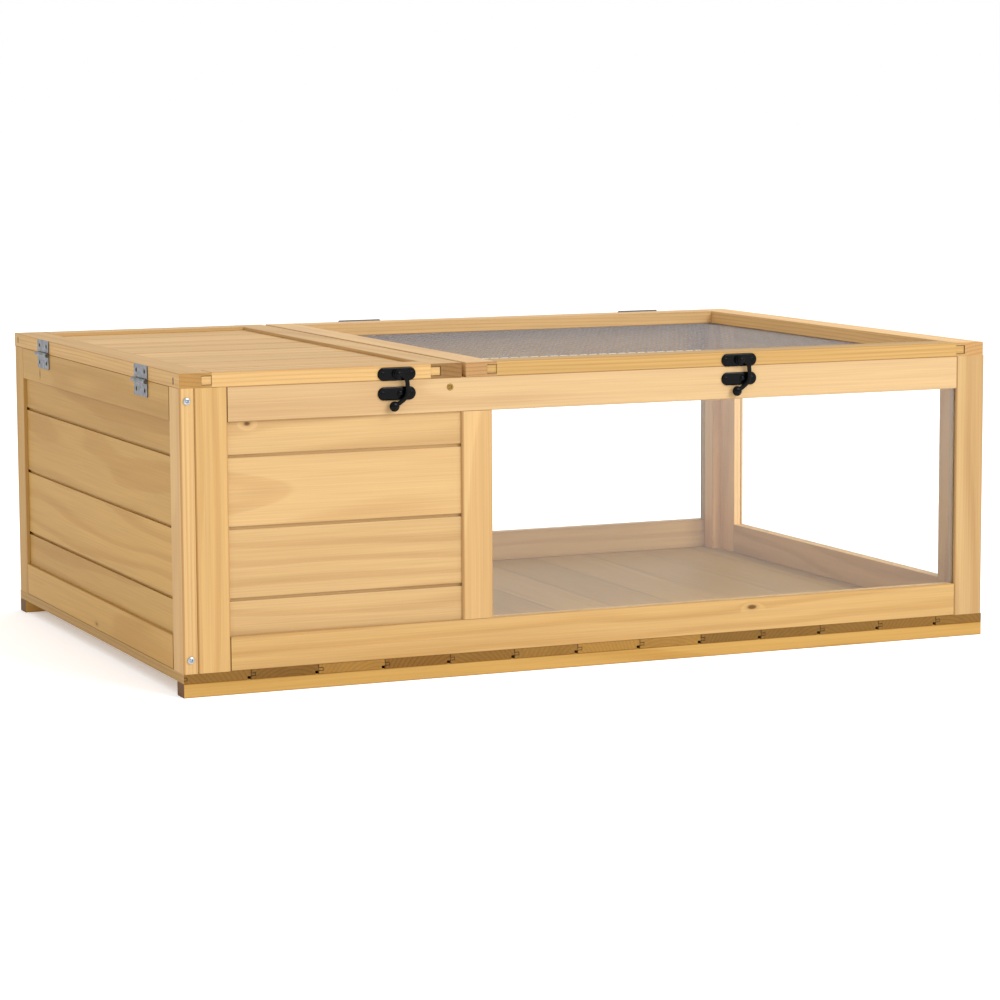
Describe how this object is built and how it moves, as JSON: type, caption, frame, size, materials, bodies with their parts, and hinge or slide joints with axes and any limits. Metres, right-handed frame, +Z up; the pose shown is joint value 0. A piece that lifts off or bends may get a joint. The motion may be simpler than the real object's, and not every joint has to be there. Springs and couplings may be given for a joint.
{
  "type": "tortoise enclosure",
  "caption": "Low wooden tortoise table with a boarded sleeping room, a windowed run, two hinged lids and swing-hook catches.",
  "frame": {"origin": "centre of the footprint, on the ground under the skids", "axes": "+X to the right along the length, +Y to the rear, +Z up"},
  "size_m": [0.9249, 0.6345, 0.3255],
  "materials": {
    "pine": "satin clear lacquer on planed softwood",
    "clear_acrylic": "clear, polished",
    "galvanised_wire": "galvanised welded wire",
    "zinc_plate": "bright zinc plate",
    "black_metal": "gloss black paint on pressed steel",
    "brass": "yellow passivated steel"
  },
  "bodies": {
    "base": {"catch_keepers": "black_metal", "catch_screws_wall": "black_metal", "corner_post": "pine", "divider_panel": "pine", "divider_screws": "brass", "floor_boards": "pine", "frame_screws": "zinc_plate", "front_bottom_rail": "pine", "front_left_stile": "pine", "front_mid_stile": "pine", "front_right_stile": "pine", "front_top_rail": "pine", "front_wall_boards": "pine", "front_window": "clear_acrylic", "hinge_pins": "zinc_plate", "hinge_screws_wall": "zinc_plate", "hinge_wall_leaves": "zinc_plate", "left_bottom_rail": "pine", "left_front_stile": "pine", "left_rear_stile": "pine", "left_top_rail": "pine", "left_wall_boards": "pine", "rear_bottom_rail": "pine", "rear_left_stile": "pine", "rear_mid_stile": "pine", "rear_right_stile": "pine", "rear_top_rail": "pine", "rear_wall_boards": "pine", "rear_window": "clear_acrylic", "side_bottom_rail": "pine", "side_front_stile": "pine", "side_rear_stile": "pine", "side_top_rail": "pine", "side_window": "clear_acrylic", "skid_front": "pine", "skid_rear": "pine"},
    "hide_lid": {"catch_screws_hide_lid": "black_metal", "hide_catch_plate": "black_metal", "hide_catch_rivet": "black_metal", "hide_hinge_leaves": "zinc_plate", "hide_lid_boards": "pine", "hide_lid_front_rail": "pine", "hide_lid_left_stile": "pine", "hide_lid_rear_rail": "pine", "hide_lid_right_stile": "pine", "hinge_screws_hide_lid": "zinc_plate"},
    "mesh_lid": {"catch_screws_mesh_lid": "black_metal", "hinge_screws_mesh_lid": "zinc_plate", "mesh_catch_plate": "black_metal", "mesh_catch_rivet": "black_metal", "mesh_hinge_leaves": "zinc_plate", "mesh_lid_front_rail": "pine", "mesh_lid_left_stile": "pine", "mesh_lid_rear_rail": "pine", "mesh_lid_right_stile": "pine", "wire_mesh": "galvanised_wire"},
    "hide_catch_arm": {"hide_catch_arm": "black_metal"},
    "mesh_catch_arm": {"mesh_catch_arm": "black_metal"}
  },
  "joints": [
    {"name": "hide_lid_hinge", "type": "hinge", "parent": "base", "child": "hide_lid", "pos_m": [-0.4625, 0, 0.308], "axis": [0, -1, 0], "range_deg": [0, 180]},
    {"name": "mesh_lid_hinge", "type": "hinge", "parent": "base", "child": "mesh_lid", "pos_m": [0.152, 0.3125, 0.308], "axis": [-1, 0, 0], "range_deg": [0, 180]},
    {"name": "hide_catch_pivot", "type": "hinge", "parent": "hide_lid", "child": "hide_catch_arm", "pos_m": [-0.2305, -0.315, 0.3152], "axis": [0, -1, 0], "range_deg": [0, 90]},
    {"name": "mesh_catch_pivot", "type": "hinge", "parent": "mesh_lid", "child": "mesh_catch_arm", "pos_m": [0.158, -0.315, 0.3152], "axis": [0, -1, 0], "range_deg": [0, 90]}
  ]
}
